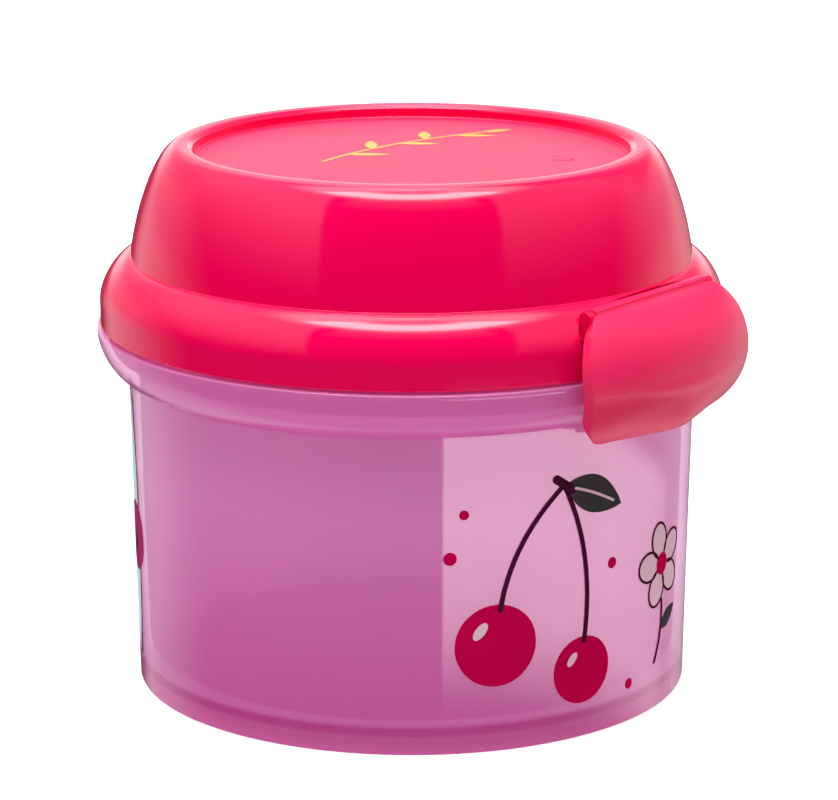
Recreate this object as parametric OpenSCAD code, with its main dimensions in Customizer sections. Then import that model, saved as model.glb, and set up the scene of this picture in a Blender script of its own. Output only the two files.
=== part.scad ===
// Round snack container: a see-through tub with a flared rim, a domed lid with a
// gasket, and a snap latch that swings on a pin in the lid and hooks under the rim.
// The tub stands on z = 0, its axis is Z, and the latch faces -Y.

/* [Tub] */
// Radius of the tub at its foot
foot_r = 46.7; // [45.5:0.1:47.0]
// Radius of the wall where the rim flange starts
wall_top_r = 47.86; // [47.5:0.02:48.1]
// Wall thickness of the tub
tub_wall = 1.75; // [1.5:0.05:2.0]
// Height of the inside floor above the table
floor_z = 4.5; // [3.6:0.1:6]
// Height of the hollow under the floor
foot_recess = 2.3; // [1.2:0.1:2.4]
// Radius of the fillet between floor and wall
floor_fillet = 2.8; // [1.5:0.1:4]

/* [Rim] */
// Outer radius of the rim flange
rim_r = 53; // [52.7:0.1:53.2]
// Height at which the flange grows out of the wall
flange_foot_z = 53.1; // [52.8:0.1:53.6]
// Height of the flange lip's top face
lip_z = 61.1; // [60.8:0.1:61.2]
// Height of the neck that the gasket presses on
neck_z = 63.6; // [63:0.1:63.6]

/* [Lid] */
// Outer radius of the lid's band
band_r = 52.44; // [52.2:0.02:52.5]
// Height of the band's lower edge
band_z = 61.5; // [61.4:0.1:61.9]
// Radius of the dome where it meets the band
dome_r = 47.26; // [47.0:0.02:47.3]
// Height at which the dome meets the band
dome_z = 72.93; // [72.8:0.01:73.2]
// Height of the lid's rim crest
top_z = 91.58; // [89:0.02:94]
// Radius of the rim crest
crest_r = 38.8; // [38.2:0.1:40]
// Radius of the sunk top panel
panel_r = 36.4; // [34:0.1:36.8]
// How far the top panel lies under the crest
panel_depth = 2.0; // [1.2:0.1:2.6]
// Thickness of the lid's top panel
lid_wall = 2.0; // [1.6:0.1:2.4]

/* [Latch] */
// Distance of the hinge axis from the container's axis
hinge_d = 48.0; // [47.9:0.05:48.1]
// Height of the hinge axis
hinge_z = 71.15; // [71.05:0.05:71.2]
// Radius of the latch's hinge barrel
barrel_r = 1.35; // [1.25:0.05:1.4]
// Length of the hinge barrel
barrel_l = 31; // [29:0.2:31]
// Radius of the hinge pin
pin_r = 0.65; // [0.55:0.05:0.7]
// Radial running clearance of the barrel on its pin
pin_play = 0.05; // [0.03:0.01:0.08]
// Radius of the plate's belly about the container's axis
belly_r = 57.7; // [57.5:0.1:58]
// Height of the belly
belly_z = 60.3; // [60:0.1:60.5]
// Radius of the plate's curve above the belly
upper_curve = 14.8; // [14.6:0.1:15.2]
// Radius of the plate's curve below the belly
lower_curve = 11.6; // [11.4:0.1:12]
// Radius of the straight curve that leads into the barrel
top_curve = 12.5; // [12.4:0.1:12.7]
// Height of the plate's top edge
plate_top = 71.8; // [71.6:0.1:71.8]
// Height of the plate's lower edge
plate_low = 50.9; // [50.6:0.1:51]
// Thickness of the latch plate
plate_t = 2.1; // [1.8:0.1:2.2]
// Widest half-width of the latch plate
plate_w = 22.2; // [21.8:0.1:22.4]
// Radius of the plate's leaning sides, seen from the front
side_curve = 11.5; // [11.3:0.1:12.5]
// Half-width of the hook inside the latch
hook_w = 14.5; // [8:0.5:15]

/* [Hidden] */
$fn = 180;
eps = 0.01;

// Half-length of the pin, which ends inside the ears
pin_half = 17.2;
// The ears stand either side of the barrel, and the cut for the plate is wider
ear_in = 15.9;
ear_out = 17.6;
ear_r = 1.15;
cut_w = 20.2;
// Distance of the flat wall behind the barrel
seat_d = 47.2;
// Radius of the plate's outside at its lower edge
edge_r = belly_r - lower_curve + sqrt(pow(lower_curve, 2) - pow(plate_low - belly_z, 2));
// Seats of the gasket
seal_in = 46.05;
seal_out = 49.3;
groove_z = 65.9;
skirt_out = 45.75;
skirt_in = 44.4;
skirt_z = 59;
band_in = 49.5;
panel_z = top_z - panel_depth;

// A point on a rounded quarter between (r0, z0) and (r1, z1): k is its fullness,
// 2 for an ellipse, and less for a flatter curve
function quarter(r0, z0, r1, z1, k, a) =
  [r1 + (r0 - r1) * pow(cos(a), 2 / k), z0 + (z1 - z0) * pow(sin(a), 2 / k)];
// A run of such points from the vertical end to the level end
function quarters(r0, z0, r1, z1, k, n) =
  [for (i = [0 : n]) quarter(r0, z0, r1, z1, k, 90 * i / n)];
// A run of points on a circle
function arc(cx, cy, r, a0, a1, n) =
  [for (i = [0 : n]) let (a = a0 + (a1 - a0) * i / n) [cx + r * cos(a), cy + r * sin(a)]];
// The dome's side: a rounded quarter whose foot leans in by the taper
function dome(a) =
  let (s = pow(sin(a), 2 / 2.11), c = pow(cos(a), 2 / 2.11), z = dome_z + (top_z - dome_z) * s)
  [crest_r + (dome_r - 0.13 * (z - dome_z) - crest_r) * c, z];

// Angle at which a circle of radius r about height z0 reaches height z
function rise(r, z, z0 = belly_z) = asin((z - z0) / r);

// Radius of the tub's outside at height z, below the flange
function wall_r(z) = foot_r + (wall_top_r - foot_r) * z / flange_foot_z;

// ---- tub ----
module tub() {
  color([0.80, 0.44, 0.66, 0.6])
  rotate_extrude()
  polygon(concat(
    // under the foot, from the hollow out to the rounded edge
    [[0, foot_recess], [42.8, foot_recess], [43.6, 0.3], [43.9, 0]],
    arc(foot_r - 1, 1, 1, -90, 0, 4),
    // wall up to the flange, and the flange's quarter-round underside
    [[wall_r(26), 26]],
    [for (i = [0 : 12]) let (p = quarter(rim_r, 60.5, wall_top_r, flange_foot_z, 1.66, 90 - 7.5 * i)) p],
    // lip, trough and neck
    [[rim_r, lip_z - 0.25], [rim_r - 0.25, lip_z], [51.4, lip_z],
     [51.2, lip_z - 0.3], [50.9, 58.6], [50.1, 57.2], [49.2, 56.6], [48.7, 57.0],
     [48.5, neck_z - 0.4], [48.1, neck_z], [46.6, neck_z], [46.2, neck_z - 0.4]],
    // inside of the wall and the fillet to the floor
    [[46.1, flange_foot_z], [wall_r(26) - tub_wall, 26]],
    arc(wall_r(0) - tub_wall - floor_fillet, floor_z + floor_fillet, floor_fillet, 0, -90, 6),
    [[0, floor_z]]
  ));
}

// ---- lid ----
module lid_shell() {
  rotate_extrude()
  polygon(concat(
    // band, its rounded shoulder, and the dome
    [[band_r - 0.35, band_z], [band_r, band_z + 0.35]],
    [for (i = [0 : 12]) quarter(band_r, 65.8, dome_r - 0.04, dome_z, 1.62, 7.5 * i)],
    [for (i = [1 : 15]) dome(6 * i)],
    // crest rounded over into the sunk panel
    [[crest_r - 0.9, top_z - 0.04], [panel_r + 0.55, top_z - 0.22], [panel_r + 0.15, top_z - 0.6],
     [panel_r, panel_z + 0.6], [panel_r - 0.18, panel_z + 0.18], [panel_r - 0.6, panel_z], [0, panel_z]],
    // inside of the panel, dome, skirt and gasket seat
    [[0, panel_z - lid_wall], [37.2, panel_z - lid_wall], [39.6, panel_z - lid_wall - 0.7],
     [41.6, 84.6], [43.0, 81], [43.9, 77], [skirt_in + 0.2, dome_z],
     [skirt_in, skirt_z], [skirt_out - 0.5, skirt_z], [skirt_out, skirt_z + 1.2],
     [skirt_out, groove_z], [band_in, groove_z], [band_in, band_z]]
  ));
}

// Lays a (distance, height) outline across x, on the -Y side
module across(half) {
  rotate([90, 0, -90]) translate([0, 0, -half]) linear_extrude(2 * half) children();
}
// A rod along x on the hinge axis
module on_hinge(r, x0, x1) {
  translate([x0, -hinge_d, hinge_z]) rotate([0, 90, 0]) cylinder(r = r, h = x1 - x0, $fn = 64);
}

// Room for the latch plate in the band
module plate_room() {
  across(cut_w)
  polygon([[seat_d, 73.4], [seat_d, 67.6], [49.0, 67.25], [51.3, 66.0], [54, 64.4], [57, 64.4], [57, 73.4]]);
  intersection() {
    rotate_extrude() polygon([[51.2, 60], [56, 60], [56, 69.5], [51.2, 69.5]]);
    translate([-cut_w, -60, 59]) cube([2 * cut_w, 60, 12]);
  }
}
// Room for the barrel: a round seat, with a deeper notch round each ear
module barrel_room() {
  on_hinge(barrel_r + 0.35, -16.4, 16.4);
  intersection() {
    rotate_extrude() polygon([[48.5, 70.2], [57, 70.2], [57, 73.4], [48.5, 73.4]]);
    for (s = [-1, 1]) translate([s * 16.6 - 2.1, -60, 60]) cube([4.2, 60, 20]);
  }
}
module ears() {
  for (s = [-1, 1]) {
    on_hinge(ear_r, min(s * ear_in, s * ear_out), max(s * ear_in, s * ear_out));
    translate([min(s * ear_in, s * ear_out), -hinge_d - ear_r, 65.9])
      cube([ear_out - ear_in, 2.2 * ear_r, hinge_z - 65.9]);
  }
}
module lid() {
  color([0.90, 0.05, 0.33])
  difference() {
    union() {
      difference() {
        lid_shell();
        plate_room();
        barrel_room();
      }
      ears();
    }
    on_hinge(pin_r, -pin_half, pin_half);
  }
}

// ---- gasket ----
module seal_ring() {
  color([0.93, 0.93, 0.92])
  rotate_extrude()
  polygon([[seal_in + 0.3, neck_z + 0.1], [seal_out - 0.3, neck_z + 0.1], [seal_out, neck_z + 0.4],
           [seal_out, groove_z - 0.4], [seal_out - 0.3, groove_z - 0.1], [seal_in + 0.3, groove_z - 0.1],
           [seal_in, groove_z - 0.4], [seal_in, neck_z + 0.4]]);
}

// ---- latch ----
// The plate is a barrel-shaped shell: above its belly the outside is one arc, and below
// it a tighter one. A straight arc across the top leads the shell into the barrel.
module plate_outside() {
  intersection() {
    rotate_extrude()
      polygon(concat(
        [[20, plate_top]],
        arc(belly_r - upper_curve, belly_z, upper_curve, rise(upper_curve, plate_top), 0, 10),
        arc(belly_r - lower_curve, belly_z, lower_curve, -4, rise(lower_curve, plate_low), 8),
        [[20, plate_low]]));
    across(30)
      polygon(concat(
        [[hinge_d, plate_top - 0.5], [hinge_d + barrel_r, plate_top - 0.5]],
        arc(belly_r - top_curve, belly_z, top_curve, rise(top_curve, plate_top - 0.1), 0, 10),
        [[belly_r, 40], [hinge_d, 40]]));
    // front outline with leaning sides and rounded lower corners
    rotate([90, 0, 0]) linear_extrude(70)
      polygon(concat(
        arc(-plate_w + side_curve, 62, side_curve, 180, 180 - rise(side_curve, plate_top, 62), 8),
        arc(plate_w - side_curve, 62, side_curve, rise(side_curve, plate_top, 62), 0, 8),
        arc(plate_w - 5.3, plate_low + 4.5, 4.5, 0, -90, 6),
        arc(-plate_w + 5.3, plate_low + 4.5, 4.5, -90, -180, 6)));
  }
}
module plate_inside() {
  intersection() {
    rotate_extrude()
      polygon(concat(
        [[10, 72]],
        arc(belly_r - upper_curve, belly_z, upper_curve - plate_t, rise(upper_curve - plate_t, 72), 0, 10),
        arc(belly_r - lower_curve, belly_z, lower_curve - plate_t, -4, rise(lower_curve - plate_t, 52.9), 8),
        [[edge_r - plate_t, plate_low - 0.1], [10, plate_low - 0.1]]));
    across(30)
      polygon(concat(
        [[20, 69.5], [hinge_d + 0.5, 69.5]],
        arc(belly_r - top_curve, belly_z, top_curve - plate_t, rise(top_curve - plate_t, 68.6), 0, 8),
        [[belly_r - plate_t, 40], [20, 40]]));
  }
}
// The hook follows the underside of the tub's flange a little way off it
module hook() {
  intersection() {
    rotate_extrude()
      polygon([[49.9, 50.95], [49.4, 51.5], [49.4, 52.9], [50.8, 54.1], [52.2, 55.8], [53.2, 57.6], [53.9, 57.9],
               [55.4, 57.6], [54.6, 55.6], [53.4, 53.6], [52.2, 52.0], [51.4, 50.95]]);
    translate([-hook_w, -60, 40]) cube([2 * hook_w, 60, 30]);
  }
}
module latch() {
  color([0.93, 0.10, 0.36])
  difference() {
    union() {
      difference() {
        plate_outside();
        plate_inside();
        // clear of the ears
        for (s = [-1, 1])
          translate([s > 0 ? ear_in - 0.3 : -30, -hinge_d - ear_r - 0.3, 67.0]) cube([30 - ear_in + 0.3, 10, 10]);
      }
      hook();
      on_hinge(barrel_r, -barrel_l / 2, barrel_l / 2);
    }
    on_hinge(pin_r + pin_play, -30, 30);
  }
}

// ---- hinge pin ----
module hinge_pin() {
  color([0.96, 0.30, 0.52]) on_hinge(pin_r, -pin_half, pin_half);
}

tub();
lid();
seal_ring();
latch();
hinge_pin();
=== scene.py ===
import bpy, bmesh, math, random
from mathutils import Vector, Matrix


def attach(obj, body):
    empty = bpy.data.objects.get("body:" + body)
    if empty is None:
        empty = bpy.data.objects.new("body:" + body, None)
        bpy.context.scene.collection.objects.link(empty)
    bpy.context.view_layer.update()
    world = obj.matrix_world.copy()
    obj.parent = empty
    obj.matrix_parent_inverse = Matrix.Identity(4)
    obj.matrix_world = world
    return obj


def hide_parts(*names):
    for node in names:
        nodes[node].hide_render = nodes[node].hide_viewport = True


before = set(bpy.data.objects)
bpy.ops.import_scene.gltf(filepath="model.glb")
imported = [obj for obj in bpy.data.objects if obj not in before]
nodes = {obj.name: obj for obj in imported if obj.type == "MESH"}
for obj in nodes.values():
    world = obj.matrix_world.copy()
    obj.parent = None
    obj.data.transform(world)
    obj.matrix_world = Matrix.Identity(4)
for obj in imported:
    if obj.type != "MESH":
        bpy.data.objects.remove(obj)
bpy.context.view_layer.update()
MM = 0.001
sin, cos, tan, sqrt, pi = math.sin, math.cos, math.tan, math.sqrt, math.pi
rad = math.radians
scene = bpy.context.scene

# ------------------------------------------------------------------ camera
PHI = 52.0                      # the latch looks this far to the right of the camera
DIST, HEIGHT, PITCH = 578.42, 195.52, 14.404
cam_data = bpy.data.cameras.new("camera")
cam_data.sensor_fit = "HORIZONTAL"
cam_data.sensor_width = 36.0
cam_data.lens = 3508.09 * 36.0 / 838.0
cam_data.shift_x = 7.5 / 838.0
cam_data.clip_start, cam_data.clip_end = 0.01, 20.0
cam = bpy.data.objects.new("camera", cam_data)
cam.location = (-DIST * sin(rad(PHI)) * MM, -DIST * cos(rad(PHI)) * MM, HEIGHT * MM)
cam.rotation_euler = (rad(90 - PITCH), 0, rad(-PHI))
scene.collection.objects.link(cam)
scene.camera = cam
scene.view_settings.view_transform = "Standard"
scene.view_settings.look = "None"
scene.view_settings.exposure = 0
scene.view_settings.gamma = 1


def around(az, r, z):
    """A point at azimuth az, counted to the right of the direction to the camera, in mm."""
    a = rad(az - PHI)
    return Vector((r * sin(a), -r * cos(a), z))


# ------------------------------------------------------------------ mesh helpers
def new_object(name, bm, smooth=True, sharp=None):
    mesh = bpy.data.meshes.new(name)
    bmesh.ops.recalc_face_normals(bm, faces=bm.faces)
    bm.to_mesh(mesh)
    bm.free()
    mesh.transform(Matrix.Scale(MM, 4))
    if smooth:
        mesh.shade_smooth()
        if sharp is not None:
            mesh.set_sharp_from_angle(angle=rad(sharp))
    ob = bpy.data.objects.new(name, mesh)
    scene.collection.objects.link(ob)
    return ob


def rounded(points, n=5):
    """Points are (r, z) or (r, z, radius): corners with a radius are rounded. The loop is closed."""
    out = []
    m = len(points)
    for i, p in enumerate(points):
        rr = p[2] if len(p) > 2 else 0
        P = Vector(p[:2])
        if rr <= 0:
            out.append((P.x, P.y))
            continue
        A, B = Vector(points[i - 1][:2]), Vector(points[(i + 1) % m][:2])
        u, v = (A - P).normalized(), (B - P).normalized()
        ang = math.acos(max(-1, min(1, u.dot(v))))
        t = rr / tan(ang / 2)
        t = min(t, 0.49 * (A - P).length, 0.49 * (B - P).length)
        rr = t * tan(ang / 2)
        C = P + (u + v).normalized() * (rr / sin(ang / 2))
        a0, a1 = P + u * t - C, P + v * t - C
        th0, th1 = math.atan2(a0.y, a0.x), math.atan2(a1.y, a1.x)
        d = (th1 - th0 + pi) % (2 * pi) - pi
        k = max(2, int(n * abs(d) / (pi / 2) + 0.5))
        for j in range(k + 1):
            th = th0 + d * j / k
            out.append((C.x + rr * cos(th), C.y + rr * sin(th)))
    return out


def lathe(name, profile, n=288, poles=True, **kw):
    """Turns a profile of (r, z) into a closed solid of revolution. Points at r = 0 become poles."""
    bm = bmesh.new()
    rings = []
    for r, z in profile:
        if r < 1e-6:
            rings.append([bm.verts.new((0, 0, z))])
        else:
            rings.append([bm.verts.new((r * cos(2 * pi * i / n), r * sin(2 * pi * i / n), z)) for i in range(n)])
    m = len(rings)
    for j in range(m if rings[0].__len__() > 1 or rings[-1].__len__() > 1 else m - 1):
        A, B = rings[j], rings[(j + 1) % m]
        if len(A) == 1 and len(B) == 1:
            continue
        for i in range(n):
            k = (i + 1) % n
            if len(A) == 1:
                bm.faces.new((A[0], B[k], B[i]))
            elif len(B) == 1:
                bm.faces.new((A[i], A[k], B[0]))
            else:
                bm.faces.new((A[i], A[k], B[k], B[i]))
    return new_object(name, bm, **kw)


def prism_x(name, poly, x0, x1, mirror=False):
    """A (distance, height) outline, on the front side, laid across x."""
    bm = bmesh.new()
    a = [bm.verts.new((x0, -d, z)) for d, z in poly]
    b = [bm.verts.new((x1, -d, z)) for d, z in poly]
    m = len(poly)
    bm.faces.new(a)
    bm.faces.new(b[::-1])
    for i in range(m):
        bm.faces.new((a[i], a[(i + 1) % m], b[(i + 1) % m], b[i]))
    ob = new_object(name, bm, smooth=False)
    return ob


def rod_x(name, r, x0, x1, d, z, n=48, bore=0, bevel=0.25, smooth=40):
    """A rod along x at distance d and height z, with rounded ends, and a bore if asked."""
    prof = [(x0, r - bevel), (x0 + bevel * 0.3, r - bevel * 0.3), (x0 + bevel, r), (x1 - bevel, r),
            (x1 - bevel * 0.3, r - bevel * 0.3), (x1, r - bevel)]
    bm = bmesh.new()
    rings = []
    if bore:
        prof = [(x0, bore)] + prof + [(x1, bore)]
    for x, q in prof:
        rings.append([bm.verts.new((x, -d + q * cos(2 * pi * i / n), z + q * sin(2 * pi * i / n))) for i in range(n)])
    for j in range(len(rings) - 1):
        for i in range(n):
            bm.faces.new((rings[j][i], rings[j][(i + 1) % n], rings[j + 1][(i + 1) % n], rings[j + 1][i]))
    if bore:
        for i in range(n):
            bm.faces.new((rings[-1][i], rings[-1][(i + 1) % n], rings[0][(i + 1) % n], rings[0][i]))
    else:
        bm.faces.new(rings[0])
        bm.faces.new(rings[-1])
    return new_object(name, bm, sharp=smooth)


def apply_modifiers(ob):
    bpy.context.view_layer.update()
    dg = bpy.context.evaluated_depsgraph_get()
    mesh = bpy.data.meshes.new_from_object(ob.evaluated_get(dg), preserve_all_data_layers=True, depsgraph=dg)
    old = ob.data
    ob.modifiers.clear()
    ob.data = mesh
    bpy.data.meshes.remove(old)


def boolean(ob, cutter, op="DIFFERENCE"):
    m = ob.modifiers.new("cut", "BOOLEAN")
    m.operation, m.solver, m.object = op, "EXACT", cutter
    apply_modifiers(ob)
    bpy.data.objects.remove(cutter)


def weighted(ob):
    m = ob.modifiers.new("normals", "WEIGHTED_NORMAL")
    m.mode = "FACE_AREA_WITH_ANGLE"
    m.weight = 60
    m.keep_sharp = True


def join(obs, name):
    """Joins the objects into one new object and removes them."""
    bm = bmesh.new()
    for o in obs:
        bm.from_mesh(o.data)
    mesh = bpy.data.meshes.new(name)
    bm.to_mesh(mesh)
    bm.free()
    for o in obs:
        bpy.data.objects.remove(o)
    ob = bpy.data.objects.new(name, mesh)
    scene.collection.objects.link(ob)
    return ob


# ------------------------------------------------------------------ shapes of the profiles, in mm
def quarter(r0, z0, r1, z1, k, a):
    return (r1 + (r0 - r1) * max(0.0, cos(rad(a))) ** (2 / k), z0 + (z1 - z0) * max(0.0, sin(rad(a))) ** (2 / k))


def wall_r(z):
    return 46.7 + 1.16 * z / 53.1


def dome(a):
    s, c = sin(rad(a)) ** (2 / 2.11), max(0.0, cos(rad(a))) ** (2 / 2.11)
    z = 72.93 + 18.65 * s
    return (38.8 + (47.26 - 0.13 * (z - 72.93) - 38.8) * c, z)


# ------------------------------------------------------------------ tub
foot = rounded([(0, 2.3), (42.6, 2.3, 0.6), (43.7, 0.0, 0.5), (46.80, 0.0, 0.35), (46.92, 6)])
foot = [p for p in foot if p != (0, 2.3)]
tub_profile = [(0, 2.3)] + foot
tub_profile += [(wall_r(z) + 0.09 * max(0.0, 1 - (z - 6) / 22), z) for z in (10, 16, 22, 28, 34, 40, 46, 50, 52.2)]
tub_profile += [quarter(53, 60.5, 47.86, 53.1, 1.66, 90 - 3 * i) for i in range(0, 31)]
tub_profile += rounded([(53, 60.6), (53, 61.1, 0.3), (51.3, 61.1, 0.25), (50.95, 58.6, 0.0), (50.2, 57.3, 0.8),
                        (48.75, 56.4, 0.9), (48.5, 63.6, 0.5), (46.2, 63.6, 0.5), (46.1, 53.1, 0), (45.6, 26, 0)])[1:]
tub_profile += [(44.99 - 2.8 + 2.8 * cos(rad(a)), 4.5 + 2.8 + 2.8 * sin(rad(a))) for a in range(0, -91, -10)]
tub_profile += [(0, 4.5)]
tub = lathe("tub_shell", tub_profile, sharp=50)
weighted(tub)

# ------------------------------------------------------------------ lid
lid_profile = rounded([(52.44, 64.5), (52.44, 61.5, 0.45), (49.5, 61.5, 0.3), (49.5, 65.9, 0.3), (45.75, 65.9, 0.3),
                       (45.7, 59.0, 0.6), (44.4, 59.0, 0.4), (44.6, 72.9, 0), (43.9, 77, 0), (43.0, 81, 0),
                       (41.6, 84.6, 0), (39.6, 86.9, 0), (37.2, 87.58, 1.0), (0, 87.58)])
i0 = [i for i, p in enumerate(lid_profile) if p[0] < 1e-6][0]
inner = lid_profile[:i0 + 1]


def panel_z(r):
    """The top panel is very slightly crowned."""
    return 89.66 - 0.25 * (r / 36) ** 2


outer = [(r, panel_z(r)) for r in (0, 3, 6, 9, 12, 15, 18, 21, 24, 27, 30, 33)]
outer += rounded([(33, panel_z(33)), (36.3, panel_z(36.3), 0.3), (36.4, 90.6, 0.0), (36.5, 91.0, 0.5), (37.4, 91.56, 0.8), (38.6, 91.58, 0)])[1:]
outer += [dome(a) for a in range(88, 0, -3)]
outer += rounded([dome(3), (47.24, 72.95, 0.35), quarter(52.44, 65.8, 47.22, 72.93, 1.62, 86)])[1:-1]
outer += [quarter(52.44, 65.8, 47.22, 72.93, 1.62, a) for a in range(84, -1, -3)]
lid_profile = outer + inner[:-1] + [(0, 87.58)]
lid = lathe("lid_shell", lid_profile, sharp=40)

HD, HZ = 48.0, 71.15


def cut_pocket(ob):
    room = prism_x("room", [(47.2, 73.4), (47.2, 67.6), (49.0, 67.25), (51.3, 66.0), (54, 64.4), (57, 64.4), (57, 73.4)], -19.2, 19.2)
    deep = lathe("deep", [(51.2, 60), (56, 60), (56, 69.5), (51.2, 69.5)], n=96, smooth=False)
    # seen from the front, this cut narrows towards its top
    side_line = [(19.2, 59), (19.2, 66.6), (18.9, 67.8), (18.2, 68.8), (17.2, 69.5), (15.8, 69.9)]
    box_line = side_line + [(-x, z) for x, z in reversed(side_line)]
    bm = bmesh.new()
    near = [bm.verts.new((x, -60, z)) for x, z in box_line]
    far = [bm.verts.new((x, -40, z)) for x, z in box_line]
    bm.faces.new(near)
    bm.faces.new(far[::-1])
    for i in range(len(near)):
        j = (i + 1) % len(near)
        bm.faces.new((near[i], near[j], far[j], far[i]))
    box = new_object("box", bm, smooth=False)
    boolean(deep, box, "INTERSECT")
    # the pocket's back corners are rounded in plan
    bm = bmesh.new()
    bm.from_mesh(room.data)
    back_edges = [e for e in bm.edges if all(abs(abs(v.co.x) - 19.2 * MM) < 1e-6 and abs(v.co.y + 47.2 * MM) < 1e-6 for v in e.verts)]
    bmesh.ops.bevel(bm, geom=back_edges, offset=2.6 * MM, segments=7, profile=0.5, affect="EDGES", clamp_overlap=True)
    bm.to_mesh(room.data)
    bm.free()
    seat = rod_x("seat", 1.38, -16.0, 16.0, HD, HZ, bevel=0.05)
    for c in (room, deep, seat):
        boolean(ob, c)
    return ob


cut_pocket(lid)
lid.data.shade_smooth()
lid.data.set_sharp_from_angle(angle=rad(38))
ears = []
for s in (-1, 1):
    a = [(HD - 1.15, 66.2), (HD + 1.15, 66.2)]
    a += [(HD + 1.15 * cos(rad(t)), HZ + 1.15 * sin(rad(t))) for t in range(0, 181, 12)]
    x0, x1 = sorted((s * 15.9, s * 17.6))
    ear = prism_x("ear", a, x0, x1)
    b = ear.modifiers.new("bevel", "BEVEL")
    b.width, b.segments, b.limit_method, b.angle_limit = 0.25 * MM, 2, "ANGLE", rad(50)
    apply_modifiers(ear)
    ears.append(ear)
lid = join([lid] + ears, "lid_shell")
lid.data.shade_smooth()
lid.data.set_sharp_from_angle(angle=rad(38))
weighted(lid)


# ------------------------------------------------------------------ latch
def plate_r(z):
    if z >= 60.3:
        return 42.9 + sqrt(14.8 ** 2 - (z - 60.3) ** 2)
    return 46.1 + sqrt(11.6 ** 2 - (z - 60.3) ** 2)


def top_d(z):
    if z >= 60.3:
        return 45.55 + sqrt(12.15 ** 2 - (z - 60.3) ** 2)
    return 57.7 + 0.35 * (60.3 - z)


def smin(a, b, k):
    h = max(k - abs(a - b), 0.0) / k
    return min(a, b) - h * h * k * 0.25


def step(a, b, x):
    t = max(0.0, min(1.0, (x - a) / (b - a)))
    return t * t * (3 - 2 * t)


ZT, ZB = 71.75, 50.9


def half_width(z):
    if z >= 62:
        w = 10.7 + sqrt(11.5 ** 2 - (z - 62) ** 2)
    else:
        w = 22.2 - 0.8 * ((62 - z) / 6.6) ** 2
    if z < 57.4:
        w = min(w, 15.3 + sqrt(max(0.0, 6.5 ** 2 - (57.4 - z) ** 2)))
    if z > 70.65:
        w += sqrt(max(0.0, 1.21 - (z - 70.65) ** 2)) - 1.1
    return w


def face_d(x, z):
    r = plate_r(z)
    d = smin(sqrt(max(1.0, r * r - x * x)), top_d(z), 2.2)
    # the lower edge flares out at the middle, where a finger pulls, and is drawn in beside that
    low = step(57.5, 50.6, z)
    return d + low * (1.25 * math.exp(-((x - 0.5) / 6.0) ** 2) - 0.35 * math.exp(-((abs(x) - 13.0) / 4.0) ** 2))


def latch_plate(name):
    nu, nv = 72, 64
    bm = bmesh.new()
    outer_g, inner_g = [], []
    for j in range(nv + 1):
        v = 0.5 - 0.5 * cos(pi * j / nv)
        z = ZT - (ZT - ZB) * v
        w = half_width(z)
        ro, ri = [], []
        for i in range(nu + 1):
            u = sin(pi / 2 * (2 * i / nu - 1)) * 0.35 + (2 * i / nu - 1) * 0.65
            x = w * u
            d = face_d(x, z)
            e = 0.02
            zl = min(z, 71.7)
            dx = (face_d(x + e, z) - face_d(x - e, z)) / (2 * e)
            dz = (face_d(x, zl + e) - face_d(x, zl - e)) / (2 * e)
            nrm = Vector((-dx, 1, -dz)).normalized()        # in (x, d, z)
            p = Vector((x, d, z))
            q = p - nrm * (2.1 - 0.9 * step(55.5, 51.0, z))
            q.x = p.x                                        # sides stay square to the front
            ro.append(bm.verts.new((p.x, -p.y, p.z)))
            ri.append(bm.verts.new((q.x, -q.y, max(q.z, ZB + 0.0) if j == nv else q.z)))
        outer_g.append(ro)
        inner_g.append(ri)
    for G, flip in ((outer_g, False), (inner_g, True)):
        for j in range(nv):
            for i in range(nu):
                f = (G[j][i], G[j][i + 1], G[j + 1][i + 1], G[j + 1][i])
                bm.faces.new(f if flip else f[::-1])
    rim = [(0, i) for i in range(nu)] + [(j, nu) for j in range(nv)] + [(nv, i) for i in range(nu, 0, -1)] + [(j, 0) for j in range(nv, 0, -1)]
    for a, (j, i) in enumerate(rim):
        j2, i2 = rim[(a + 1) % len(rim)]
        bm.faces.new((outer_g[j][i], outer_g[j2][i2], inner_g[j2][i2], inner_g[j][i]))
    ob = new_object(name, bm, sharp=40)
    b = ob.modifiers.new("bevel", "BEVEL")
    b.width, b.segments, b.limit_method, b.angle_limit = 0.55 * MM, 5, "ANGLE", rad(45)
    b.use_clamp_overlap = True
    apply_modifiers(ob)
    return ob


def latch_hook(name):
    prof = rounded([(49.9, 50.95, 0.3), (49.4, 51.5, 0.3), (49.4, 52.9, 0.4), (50.8, 54.1), (52.2, 55.8), (53.2, 57.6, 0.4),
                    (53.9, 57.9, 0.3), (55.6, 57.6), (55.4, 55.6), (54.2, 53.6), (52.9, 52.0), (51.6, 51.0)], n=4)
    n = 40
    lim = [math.asin(14.5 / r) for r, z in prof]
    bm = bmesh.new()
    cols = []
    for i in range(n + 1):
        cols.append([bm.verts.new((r * sin(a * (2 * i / n - 1)), -r * cos(a * (2 * i / n - 1)), z)) for (r, z), a in zip(prof, lim)])
    m = len(prof)
    for i in range(n):
        for k in range(m):
            bm.faces.new((cols[i][k], cols[i][(k + 1) % m], cols[i + 1][(k + 1) % m], cols[i + 1][k]))
    bm.faces.new(cols[0])
    bm.faces.new(cols[-1][::-1])
    return new_object(name, bm, sharp=40)


plate = latch_plate("plate")
hook = latch_hook("hook")
barrel = rod_x("barrel", 1.35, -15.5, 15.5, HD, HZ, bore=0.7, bevel=0.3)
# a groove parts the barrel from the plate's top edge
for part in (plate, barrel):
    boolean(part, rod_x("groove", 0.5, -18.2, 18.2, 49.45, 71.95, n=20, bevel=0.1))
latch = join([plate, hook, barrel], "latch_shell")
latch.data.shade_smooth()
latch.data.set_sharp_from_angle(angle=rad(40))
weighted(latch)


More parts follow.
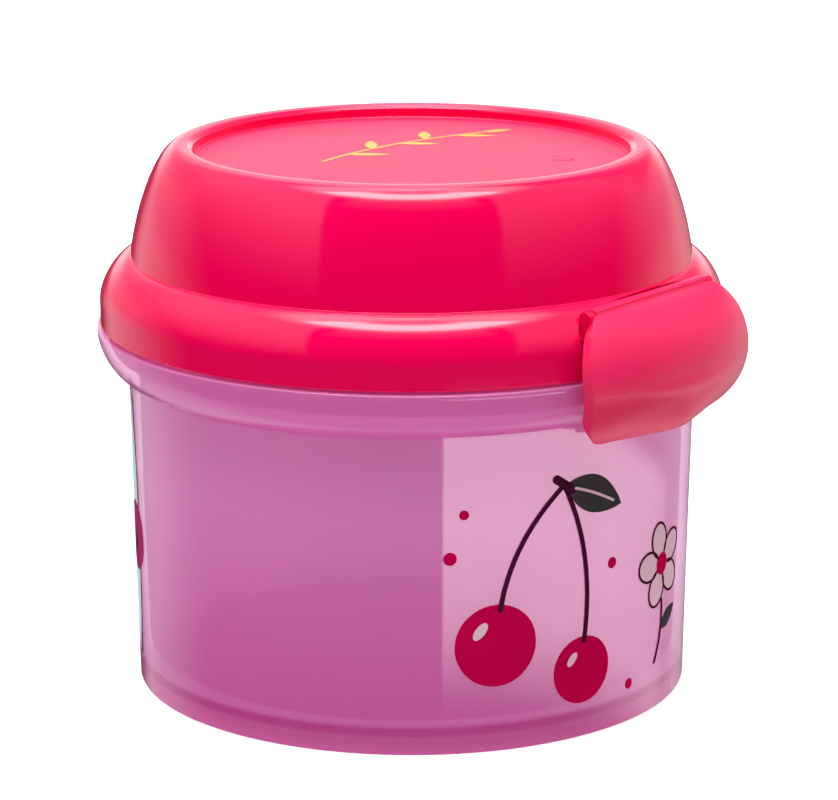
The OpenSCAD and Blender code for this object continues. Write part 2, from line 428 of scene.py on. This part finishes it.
# ------------------------------------------------------------------ materials
def material(name):
    m = bpy.data.materials.new(name)
    m.use_nodes = True
    nt = m.node_tree
    for n in list(nt.nodes):
        nt.nodes.remove(n)
    return m, nt


def add(nt, kind, **kw):
    n = nt.nodes.new(kind)
    for k, v in kw.items():
        if k.startswith("in_"):
            n.inputs[k[3:].replace("_", " ")].default_value = v
        else:
            setattr(n, k, v)
    return n


def srgb(r, g, b, a=1.0):
    f = lambda c: (c / 255 / 12.92) if c / 255 <= 0.04045 else ((c / 255 + 0.055) / 1.055) ** 2.4
    return (f(r), f(g), f(b), a)


def noise(nt, scale, detail=2.0, rough=0.5, coord="Object"):
    tc = add(nt, "ShaderNodeTexCoord")
    n = add(nt, "ShaderNodeTexNoise")
    n.inputs["Scale"].default_value = scale
    n.inputs["Detail"].default_value = detail
    n.inputs["Roughness"].default_value = rough
    nt.links.new(tc.outputs[coord], n.inputs["Vector"])
    return n


def ramp(nt, src, stops, interp="LINEAR"):
    r = add(nt, "ShaderNodeValToRGB")
    r.color_ramp.interpolation = interp
    e = r.color_ramp.elements
    while len(e) < len(stops):
        e.new(0.5)
    for el, (p, c) in zip(e, stops):
        el.position = p
        el.color = c
    nt.links.new(src, r.inputs["Fac"])
    return r


def map_range(nt, src, a, b, c, d):
    m = add(nt, "ShaderNodeMapRange")
    for k, v in (("From Min", a), ("From Max", b), ("To Min", c), ("To Max", d)):
        m.inputs[k].default_value = v
    nt.links.new(src, m.inputs["Value"])
    return m


def bump(nt, src, strength, distance):
    b = add(nt, "ShaderNodeBump")
    b.inputs["Strength"].default_value = strength
    b.inputs["Distance"].default_value = distance
    nt.links.new(src, b.inputs["Height"])
    return b


def opaque_plastic(name, dark, light, rough, rough_var=0.03, sss=0.0, spec=0.5, coat=0.0, bump_s=0.05):
    """Moulded plastic: faint flow mottling, a fine skin texture, and a slightly uneven gloss."""
    m, nt = material(name)
    p = add(nt, "ShaderNodeBsdfPrincipled")
    out = add(nt, "ShaderNodeOutputMaterial")
    nt.links.new(p.outputs[0], out.inputs["Surface"])
    flow = noise(nt, 38, 3, 0.55)
    col = ramp(nt, flow.outputs["Fac"], [(0.3, dark), (0.7, light)])
    nt.links.new(col.outputs["Color"], p.inputs["Base Color"])
    fine = noise(nt, 900, 2, 0.5)
    rr = map_range(nt, fine.outputs["Fac"], 0.3, 0.7, rough - rough_var, rough + rough_var)
    nt.links.new(rr.outputs["Result"], p.inputs["Roughness"])
    b = bump(nt, fine.outputs["Fac"], bump_s, 0.00006)
    nt.links.new(b.outputs["Normal"], p.inputs["Normal"])
    p.inputs["IOR"].default_value = 1.49
    p.inputs["Specular IOR Level"].default_value = spec
    p.inputs["Coat Weight"].default_value = coat
    if sss:
        p.inputs["Subsurface Weight"].default_value = sss
        p.inputs["Subsurface Radius"].default_value = (1.0, 0.25, 0.35)
        p.inputs["Subsurface Scale"].default_value = 0.0015
    return m, nt, p


lid_mat, lid_nt, lid_p = opaque_plastic("lid_plastic_look", (0.87, 0.0002, 0.082, 1), (0.92, 0.0004, 0.094, 1), 0.085, 0.012)
latch_mat, _, _ = opaque_plastic("latch_plastic_look", (0.88, 0.012, 0.108, 1), (0.94, 0.018, 0.125, 1), 0.33, 0.03)
pin_mat, _, _ = opaque_plastic("pin_plastic_look", (0.80, 0.02, 0.14, 1), (0.88, 0.03, 0.18, 1), 0.36, 0.04)
seal_mat, _, _ = opaque_plastic("seal_silicone_look", (0.72, 0.72, 0.70, 1), (0.82, 0.82, 0.80, 1), 0.55, 0.05)


# the sunk top panel has a satin finish
tc_ = add(lid_nt, "ShaderNodeTexCoord")
xyz_ = add(lid_nt, "ShaderNodeSeparateXYZ")
lid_nt.links.new(tc_.outputs["Object"], xyz_.inputs[0])
flat_ = add(lid_nt, "ShaderNodeCombineXYZ")
lid_nt.links.new(xyz_.outputs["X"], flat_.inputs["X"])
lid_nt.links.new(xyz_.outputs["Y"], flat_.inputs["Y"])
dist_ = add(lid_nt, "ShaderNodeVectorMath", operation="LENGTH")
lid_nt.links.new(flat_.outputs[0], dist_.inputs[0])
inside_ = map_range(lid_nt, dist_.outputs["Value"], 0.0362, 0.0363, 0.32, 0.0)
above_ = map_range(lid_nt, xyz_.outputs["Z"], 0.0889, 0.0890, 0.0, 1.0)
patch_ = add(lid_nt, "ShaderNodeMath", operation="MULTIPLY_ADD")
lid_nt.links.new(inside_.outputs["Result"], patch_.inputs[0])
lid_nt.links.new(above_.outputs["Result"], patch_.inputs[1])
lid_nt.links.new(lid_p.inputs["Roughness"].links[0].from_socket, patch_.inputs[2])
lid_nt.links.new(patch_.outputs[0], lid_p.inputs["Roughness"])


def tub_material():
    """See-through coloured polypropylene: each skin lets part of the light straight through and spreads the rest."""
    m, nt = material("tub_plastic_look")
    out = add(nt, "ShaderNodeOutputMaterial")
    tc = add(nt, "ShaderNodeTexCoord")
    xyz = add(nt, "ShaderNodeSeparateXYZ")
    nt.links.new(tc.outputs["Object"], xyz.inputs[0])
    h = map_range(nt, xyz.outputs["Z"], 0.0, 0.064, 0.0, 1.0)
    # colour by height, darker towards the bottom, with painted shade in a band at the floor slab's edge (0.054 to
    # 0.068) and in a band at the flange foot (0.830 to 0.846)
    col = ramp(nt, h.outputs["Result"], [
        # the stops from 0.054 to 0.068 are a painted shade band at the floor slab's edge
        (0.000, (0.70, 0.130, 0.42, 1)), (0.045, (0.70, 0.130, 0.42, 1)), (0.054, (0.55, 0.012, 0.28, 1)),
        (0.068, (0.55, 0.012, 0.28, 1)), (0.080, (0.86, 0.260, 0.66, 1)), (0.30, (0.94, 0.360, 0.76, 1)),
        (0.60, (0.97, 0.480, 0.85, 1)), (0.822, (0.97, 0.480, 0.85, 1)),
        # the stops from 0.830 to 0.846 are a painted shade band at the flange foot, where the flange meets the wall
        (0.830, (0.95, 0.240, 0.68, 1)), (0.846, (0.95, 0.240, 0.68, 1)), (0.856, (0.99, 0.380, 0.80, 1)), (1.0, (0.99, 0.380, 0.80, 1))])
    flow = noise(nt, 30, 3, 0.5)
    tone = map_range(nt, flow.outputs["Fac"], 0.3, 0.7, 0.97, 1.01)
    mul = add(nt, "ShaderNodeMix", data_type="RGBA", blend_type="MULTIPLY")
    mul.inputs[0].default_value = 1.0
    nt.links.new(col.outputs["Color"], mul.inputs[6])
    nt.links.new(tone.outputs["Result"], mul.inputs[7])
    fine = noise(nt, 700, 2, 0.5)
    b = bump(nt, fine.outputs["Fac"], 0.03, 0.00004)

    dif = add(nt, "ShaderNodeBsdfDiffuse")
    trl = add(nt, "ShaderNodeBsdfTranslucent")
    trp = add(nt, "ShaderNodeBsdfTransparent")
    trp.inputs["Color"].default_value = (0.99, 0.80, 0.94, 1)
    gls = add(nt, "ShaderNodeBsdfGlossy")
    gls.inputs["Roughness"].default_value = 0.05
    gls.inputs["Color"].default_value = (1, 1, 1, 1)
    fr = add(nt, "ShaderNodeFresnel")
    fr.inputs["IOR"].default_value = 1.49
    for sh in (dif, trl, gls, fr):
        nt.links.new(b.outputs["Normal"], sh.inputs["Normal"])
    nt.links.new(mul.outputs[2], dif.inputs["Color"])
    nt.links.new(mul.outputs[2], trl.inputs["Color"])
    a = add(nt, "ShaderNodeMixShader")
    a.inputs[0].default_value = 0.45
    nt.links.new(dif.outputs[0], a.inputs[1])
    nt.links.new(trl.outputs[0], a.inputs[2])
    c = add(nt, "ShaderNodeMixShader")
    c.inputs[0].default_value = 0.42
    nt.links.new(a.outputs[0], c.inputs[1])
    nt.links.new(trp.outputs[0], c.inputs[2])
    geo = add(nt, "ShaderNodeNewGeometry")
    face = map_range(nt, geo.outputs["Backfacing"], 0.0, 1.0, 1.0, 0.0)
    only = add(nt, "ShaderNodeMath", operation="MULTIPLY")
    nt.links.new(fr.outputs[0], only.inputs[0])
    nt.links.new(face.outputs["Result"], only.inputs[1])
    g = add(nt, "ShaderNodeMixShader")
    nt.links.new(only.outputs[0], g.inputs[0])
    nt.links.new(c.outputs[0], g.inputs[1])
    nt.links.new(gls.outputs[0], g.inputs[2])
    nt.links.new(g.outputs[0], out.inputs["Surface"])
    return m


tub_mat = tub_material()


def give(ob, mat):
    ob.data.materials.clear()
    ob.data.materials.append(mat)
    for p in ob.data.polygons:
        p.material_index = 0


give(tub, tub_mat)
give(lid, lid_mat)
give(latch, latch_mat)
for nm, mt in (("seal_ring", seal_mat), ("hinge_pin", pin_mat)):
    ob = nodes[nm]
    if ob.material_slots:
        for s in ob.material_slots:
            s.material = mt
    else:
        ob.data.materials.append(mt)

for ob, body, slot, node in ((tub, "tub", "tub_plastic", "tub"), (lid, "lid", "lid_plastic", "lid"),
                             (latch, "latch", "latch_plastic", "latch")):
    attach(ob, body)
    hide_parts(node)

# ------------------------------------------------------------------ printed decoration
def stroke(pts, width, n=10):
    """The outline of a line with round ends through the points."""
    P = [Vector(p) for p in pts]
    left, right = [], []
    for i, p in enumerate(P):
        d = (P[min(i + 1, len(P) - 1)] - P[max(i - 1, 0)]).normalized()
        k = Vector((-d.y, d.x)) * width / 2
        left.append(p + k)
        right.append(p - k)
    def cap(c, start):
        a0 = math.atan2(start.y - c.y, start.x - c.x)
        return [c + Vector((cos(a0 - pi * j / n), sin(a0 - pi * j / n))) * width / 2 for j in range(1, n)]
    return [tuple(v) for v in left + cap(P[-1], left[-1]) + right[::-1] + cap(P[0], right[0])]


def curve(p0, p1, p2, n=14):
    return [((1 - t) ** 2 * p0[0] + 2 * t * (1 - t) * p1[0] + t * t * p2[0],
             (1 - t) ** 2 * p0[1] + 2 * t * (1 - t) * p1[1] + t * t * p2[1]) for t in [i / n for i in range(n + 1)]]


def disc(x, y, r, n=44, squash=1.0, turn=0.0):
    c, s = cos(rad(turn)), sin(rad(turn))
    return [(x + r * cos(t) * c - r * squash * sin(t) * s, y + r * cos(t) * s + r * squash * sin(t) * c)
            for t in [2 * pi * i / n for i in range(n)]]


def leaf(p0, p1, width, n=14):
    """A pointed leaf from p0 to p1."""
    a, b = Vector(p0), Vector(p1)
    k = Vector((-(b - a).y, (b - a).x)).normalized() * width / 2
    up = [a + (b - a) * t + k * sin(pi * t) ** 0.8 * (1.1 - 0.35 * t) for t in [i / n for i in range(n + 1)]]
    dn = [a + (b - a) * t - k * sin(pi * t) ** 0.8 * (1.1 - 0.35 * t) for t in [i / n for i in range(1, n)]][::-1]
    return [tuple(v) for v in up + dn]


def ring_of(outline, width):
    """A closed line drawn along an outline, as quads."""
    P = [Vector(p) for p in outline]
    m = len(P)
    inn, out_ = [], []
    for i in range(m):
        d = (P[(i + 1) % m] - P[i - 1]).normalized()
        k = Vector((-d.y, d.x)) * width / 2
        inn.append(P[i] + k)
        out_.append(P[i] - k)
    return [[tuple(out_[i]), tuple(out_[(i + 1) % m]), tuple(inn[(i + 1) % m]), tuple(inn[i])] for i in range(m)]


def ink(name, shapes, place, low, high, cell=1.2):
    """Thin closed films of ink. A shape is an outline, or a list of quads that share edges."""
    bm = bmesh.new()
    for shape in shapes:
        flat = bmesh.new()
        quads = shape if isinstance(shape[0], list) else [shape]
        seen = {}
        for q in quads:
            vs = []
            for p in q:
                key = (round(p[0], 5), round(p[1], 5))
                if key not in seen:
                    seen[key] = flat.verts.new((p[0], p[1], 0))
                vs.append(seen[key])
            flat.faces.new(vs)
        bmesh.ops.triangulate(flat, faces=flat.faces)
        xs = [v.co.x for v in flat.verts]
        x = math.floor(min(xs) / cell) * cell + cell
        while x < max(xs):
            bmesh.ops.bisect_plane(flat, geom=flat.verts[:] + flat.edges[:] + flat.faces[:], plane_co=(x, 0, 0), plane_no=(1, 0, 0), dist=1e-5)
            x += cell
        flat.normal_update()
        if sum(f.normal.z * f.calc_area() for f in flat.faces) < 0:
            bmesh.ops.reverse_faces(flat, faces=flat.faces)
        lo, hi = {}, {}
        for v in flat.verts:
            lo[v] = bm.verts.new(place(v.co.x, v.co.y, low))
            hi[v] = bm.verts.new(place(v.co.x, v.co.y, high))
        for f in flat.faces:
            bm.faces.new([hi[v] for v in f.verts])
            bm.faces.new([lo[v] for v in reversed(f.verts)])
        for e in flat.edges:
            if len(e.link_loops) == 1:
                l = e.link_loops[0]
                a, b = l.vert, l.link_loop_next.vert
                bm.faces.new((hi[b], hi[a], lo[a], lo[b]))
        flat.free()
    return new_object(name, bm, sharp=30)


def on_wall(az):
    def place(u, v, lift):
        r = wall_r(v) + 0.09 * max(0.0, 1 - (max(v, 6) - 6) / 22) + lift
        return around(az + u / 47.3 * 180 / pi, r, v)
    return place


def on_panel(x, y, turn):
    c, s = cos(rad(turn)), sin(rad(turn))
    def place(u, v, lift):
        px, py = x + u * c - v * s, y + u * s + v * c
        return Vector((px, py, panel_z(sqrt(px * px + py * py)) + lift))
    return place


def ink_look(name, a, b, rough=0.36, spec=0.0):
    mt, nt_, _ = opaque_plastic(name, a, b, rough, 0.03, spec=spec, bump_s=0.02)
    return mt


raspberry = ink_look("ink_raspberry", (0.53, 0.0006, 0.062, 1), (0.60, 0.0010, 0.074, 1))
plum = ink_look("ink_plum", (0.050, 0.006, 0.026, 1), (0.070, 0.009, 0.036, 1))
charcoal = ink_look("ink_charcoal", (0.040, 0.036, 0.040, 1), (0.060, 0.054, 0.060, 1))
pale = ink_look("ink_pale", (0.80, 0.48, 0.60, 1), (0.86, 0.55, 0.66, 1))
mint = ink_look("ink_mint", (0.60, 0.76, 0.75, 1), (0.66, 0.80, 0.79, 1))
wine = ink_look("ink_wine", (0.36, 0.022, 0.13, 1), (0.41, 0.034, 0.16, 1))
gold = ink_look("ink_gold", (0.88, 0.36, 0.035, 1), (0.96, 0.46, 0.060, 1), 0.36, 0.4)

front = on_wall(27.0)
cherries = [disc(-8.5, 18.0, 6.9), disc(7.5, 11.6, 5.7)]
stems = [stroke(curve((-7.9, 24.0), (-6.0, 36.0), (3.0, 43.5)), 0.85), stroke(curve((7.7, 16.6), (9.6, 31.0), (3.0, 43.5)), 0.85),
         stroke([(1.6, 44.6), (4.6, 42.6)], 1.5)]
leaves = [leaf((3.6, 43.6), (15.2, 38.4), 6.6)]
veins = [stroke(curve((5.2, 42.7), (9.0, 41.6), (13.2, 39.3)), 0.45)]
shine = [disc(-11.2, 20.6, 1.7, 24, 0.5, 52), disc(5.3, 13.7, 1.35, 24, 0.5, 52)]
flower = on_wall(61.0)
petals, outlines = [], []
for k in range(5):
    a = rad(90 + 72 * k + 14)
    o = disc(4.35 * cos(a), 25.0 + 4.35 * sin(a), 3.1, 36, 0.80, math.degrees(a))
    petals.append(o)
    outlines.append(ring_of(o, 0.42))
buds = [stroke(curve((0.4, 18.6), (1.2, 13.0), (-1.6, 8.2)), 0.6)]
bud_leaf = [leaf((0.3, 13.6), (6.2, 16.4), 3.0)]
for nm, shapes, place, lo, hi, mt in (
        ("print_cherries", cherries, front, 0.02, 0.06, raspberry),
        ("print_stems", stems, front, 0.07, 0.11, plum),
        ("print_leaf", leaves, front, 0.02, 0.06, charcoal),
        ("print_vein", veins + shine, front, 0.12, 0.15, pale),
        ("print_petals", petals, flower, 0.02, 0.05, pale),
        ("print_petal_lines", outlines + buds, flower, 0.06, 0.09, plum),
        ("print_flower_heart", [disc(0, 25.0, 1.9, 28)], flower, 0.10, 0.13, raspberry),
        ("print_bud_leaf", bud_leaf, flower, 0.02, 0.05, charcoal),
        ("print_dots", [disc(13.5, 28.6, 0.95, 24), disc(-16.2, 33.0, 1.1, 24), disc(-14.0, 40.2, 0.8, 24), disc(18.6, 6.6, 0.9, 24)], front, 0.02, 0.06, raspberry)):
    ob = ink(nm, shapes, place, lo, hi)
    give(ob, mt)
    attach(ob, "tub")
left = on_wall(-80.0)
for nm, shapes, lo, hi, mt in (
        ("print_left_blade", [leaf((0.2, 5.5), (0.0, 51.0), 9.0)], 0.02, 0.045, mint),
        ("print_left_stem", [stroke(curve((2.4, 5.5), (5.4, 27.0), (2.2, 50.5)), 0.6)], 0.05, 0.075, plum),
        ("print_left_fruit", [disc(1.0, 26.0, 6.0)], 0.08, 0.105, wine),
        ("print_left_leaf", [leaf((1.4, 23.0), (1.9, 27.8), 2.0)], 0.11, 0.135, charcoal)):
    ob = ink(nm, shapes, left, lo, hi)
    give(ob, mt)
    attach(ob, "tub")

top_place = on_panel(5.6, 5.6, -8.0)
sprig = [stroke(curve((-20.5, -1.8), (-2.0, 3.6), (18.6, -0.6)), 0.75)]
for k, (u, v) in enumerate(((-13.5, 0.0), (-7.0, 1.1), (-0.5, 1.7), (6.0, 1.5), (12.2, 0.7))):
    s_ = 1 if k % 2 else -1
    sprig.append(leaf((u, v), (u + 5.0, v + s_ * 5.4), 2.3))
sprig.append(leaf((18.0, -0.5), (24.0, -1.6), 2.2))
ob = ink("print_lid_sprig", sprig, top_place, 0.015, 0.05, cell=4.0)
give(ob, gold)
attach(ob, "lid")

# the mark left by the moulding gate
gate = lathe("gate_mark", [(0, 0.0), (2.05, 0.0), (2.1, 0.05), (1.95, 0.12), (1.55, 0.13), (1.35, 0.05), (0.55, 0.04), (0.4, 0.10), (0, 0.12)], n=48, sharp=60)
gate.data.transform(Matrix.Translation(Vector((11.9, -22.4, panel_z(25.4) - 0.02)) * MM))
give(gate, lid_mat)
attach(gate, "lid")

# ------------------------------------------------------------------ floor, studio light
bm = bmesh.new()
S = 3000
fv = [bm.verts.new((x, y, 0)) for x, y in ((-S, -S), (S, -S), (S, S), (-S, S))]
bm.faces.new(fv)
floor = new_object("floor", bm, smooth=False)
floor.location.z = -0.00002
m, nt = material("floor_look")
p = add(nt, "ShaderNodeBsdfPrincipled")
out = add(nt, "ShaderNodeOutputMaterial")
fl = noise(nt, 3, 2, 0.5)
cr = ramp(nt, fl.outputs["Fac"], [(0.3, (0.97, 0.97, 0.97, 1)), (0.7, (0.98, 0.98, 0.98, 1))])
nt.links.new(cr.outputs["Color"], p.inputs["Base Color"])
p.inputs["Roughness"].default_value = 0.9
p.inputs["Specular IOR Level"].default_value = 0.0
nt.links.new(p.outputs[0], out.inputs["Surface"])
floor.data.materials.append(m)
p.inputs["Emission Color"].default_value = (1, 1, 1, 1)
p.inputs["Emission Strength"].default_value = 0.25
floor.visible_glossy = False
floor.visible_diffuse = False
floor.visible_transmission = False
floor.visible_shadow = False


def light_sheet(name, bm, strength, diffuse, glossy):
    ob = new_object(name, bm, smooth=False)
    m, nt = material(name + "_look")
    e = add(nt, "ShaderNodeEmission")
    out = add(nt, "ShaderNodeOutputMaterial")
    tc = add(nt, "ShaderNodeTexCoord")
    ln = add(nt, "ShaderNodeVectorMath", operation="LENGTH")
    nt.links.new(tc.outputs["Object"], ln.inputs[0])
    g = map_range(nt, ln.outputs["Value"], strength[0], strength[1], strength[2], strength[3])
    nt.links.new(g.outputs["Result"], e.inputs["Strength"])
    nt.links.new(e.outputs[0], out.inputs["Surface"])
    m.cycles.emission_sampling = "NONE"
    ob.data.materials.append(m)
    ob.visible_camera = ob.visible_shadow = ob.visible_volume_scatter = False
    ob.visible_diffuse = ob.visible_transmission = diffuse
    ob.visible_glossy = glossy
    return ob


# light thrown back up by the white table
bm = bmesh.new()
bm.faces.new([bm.verts.new((x, y, 0)) for x, y in ((-S, -S), (S, -S), (S, S), (-S, S))])
table_light = light_sheet("table_light", bm, (0.0, 0.3, 0.96, 0.96), True, False)
table_light.location.z = -0.0005
table_light.visible_shadow = True

# The studio: a soft ceiling light, pale sides and back, and a dark front, fixed in space.
world = bpy.data.worlds.new("studio")
scene.world = world
world.use_nodes = True
wn = world.node_tree
for n in list(wn.nodes):
    wn.nodes.remove(n)
wout = wn.nodes.new("ShaderNodeOutputWorld")
bg = wn.nodes.new("ShaderNodeBackground")
wn.links.new(bg.outputs[0], wout.inputs["Surface"])
tc = wn.nodes.new("ShaderNodeTexCoord")
rot = wn.nodes.new("ShaderNodeVectorRotate")
rot.rotation_type = "Z_AXIS"
rot.inputs["Angle"].default_value = rad(PHI)     # so that -Y is the front of the set
wn.links.new(tc.outputs["Generated"], rot.inputs["Vector"])
sx = wn.nodes.new("ShaderNodeSeparateXYZ")
wn.links.new(rot.outputs[0], sx.inputs[0])


def wmath(op, a, b=None, c=None):
    n = wn.nodes.new("ShaderNodeMath")
    n.operation = op
    for i, v in enumerate((a, b, c)):
        if v is None:
            continue
        if isinstance(v, (int, float)):
            n.inputs[i].default_value = v
        else:
            wn.links.new(v, n.inputs[i])
    return n.outputs[0]


def wstep(v, a, b):
    n = wn.nodes.new("ShaderNodeMapRange")
    n.interpolation_type = "SMOOTHSTEP"
    wn.links.new(v, n.inputs["Value"])
    n.inputs["From Min"].default_value = a
    n.inputs["From Max"].default_value = b
    return n.outputs["Result"]


def wline(v, a, b):
    n = wn.nodes.new("ShaderNodeMapRange")
    wn.links.new(v, n.inputs["Value"])
    n.inputs["From Min"].default_value = a
    n.inputs["From Max"].default_value = b
    return n.outputs["Result"]


X, Y, Z = sx.outputs
el = wmath("MULTIPLY", wmath("ARCSINE", Z), 180 / pi)
az = wmath("MULTIPLY", wmath("ARCTAN2", X, wmath("MULTIPLY", Y, -1.0)), 180 / pi)   # 0 is the front, + to the right
aaz = wmath("ABSOLUTE", az)
edge = wmath("ADD", 37.5, wmath("MULTIPLY", wmath("POWER", wmath("MAXIMUM", wmath("DIVIDE", el, 47.0), 0.0), 2.0), 10.0))
side = wmath("MULTIPLY", wstep(wmath("SUBTRACT", aaz, edge), -1.0, 1.0), wstep(el, 2.0, 46.0))
side = wmath("MULTIPLY", side, wmath("SUBTRACT", 1.10, wmath("MULTIPLY", wstep(az, -20.0, 20.0), 0.40)))
# the wall behind is brightest low down, and dark at the level of the table
deep = wmath("MULTIPLY", wstep(aaz, 142.0, 168.0), wmath("ADD", wmath("SUBTRACT", 0.80, wmath("MULTIPLY", wline(el, 7.0, 13.0), 0.80)), wmath("MULTIPLY", wline(el, 15.0, 45.0), 1.5)))
back = wmath("ADD", 0.56, deep)
low = wmath("SUBTRACT", 0.80, wmath("MULTIPLY", wline(aaz, 145.0, 170.0), 0.70))
low = wmath("MINIMUM", low, wmath("SUBTRACT", 0.80, wmath("MULTIPLY", wline(az, -143.0, -158.0), 0.74)))
back = wmath("ADD", low, wmath("MULTIPLY", wmath("SUBTRACT", back, low), wstep(el, -3.0, 3.0)))
back = wmath("MULTIPLY", wstep(aaz, 85.0, 125.0), back)
# ceiling light: a bright front edge over the set, a softer body, and a dim fringe
front_side = wmath("SUBTRACT", 1.0, wstep(aaz, 75.0, 90.0))
facing = wmath("SUBTRACT", 1.0, wstep(aaz, 38.0, 44.0))
lip = wmath("MULTIPLY", wmath("MULTIPLY", wstep(el, 63.0, 69.0), wmath("SUBTRACT", 1.0, wstep(el, 76.0, 82.0))), front_side)
tail = wmath("MULTIPLY", wline(el, 47.0, 66.0), facing)
body = wmath("SUBTRACT", wmath("MULTIPLY", wstep(el, 58.0, 70.0), 3.4), wmath("MULTIPLY", wstep(el, 80.0, 86.0), 1.7))
top = wmath("ADD", body, wmath("ADD", wmath("MULTIPLY", lip, 9.0), wmath("MULTIPLY", tail, 1.0)))
# a low white card on the right, which the glossy wall mirrors
card = wmath("SUBTRACT", 5.3, wmath("ADD", wmath("MULTIPLY", wline(az, 64.0, 88.0), 0.6), wmath("MULTIPLY", wline(az, 88.0, 132.0), 4.6)))
card = wmath("MULTIPLY", card, wstep(az, 12.0, 13.2))
card = wmath("MULTIPLY", card, wmath("SUBTRACT", 1.0, wstep(el, -16.8, -16.4)))
card = wmath("MULTIPLY", card, wstep(el, -21.7, -19.6))
corner = wmath("MULTIPLY", wmath("SUBTRACT", wstep(aaz, 112.0, 138.0), wstep(aaz, 158.0, 172.0)), wstep(el, 10.0, 18.0))
corner = wmath("SUBTRACT", 1.0, wmath("MULTIPLY", corner, wmath("ADD", 0.28, wmath("MULTIPLY", wstep(az, -20.0, 20.0), 0.34))))
walls = wmath("MULTIPLY", wmath("MAXIMUM", side, back), corner)
sky = wmath("ADD", wmath("ADD", walls, top), card)
lp = wn.nodes.new("ShaderNodeLightPath")
mixv = wn.nodes.new("ShaderNodeMix")
mixv.data_type = "FLOAT"
wn.links.new(lp.outputs["Is Camera Ray"], mixv.inputs[0])
wn.links.new(sky, mixv.inputs[2])
mixv.inputs[3].default_value = 1.0
wn.links.new(mixv.outputs[0], bg.inputs["Strength"])
bg.inputs["Color"].default_value = (1, 1, 1, 1)
world.cycles.sampling_method = "MANUAL"
world.cycles.sample_map_resolution = 512
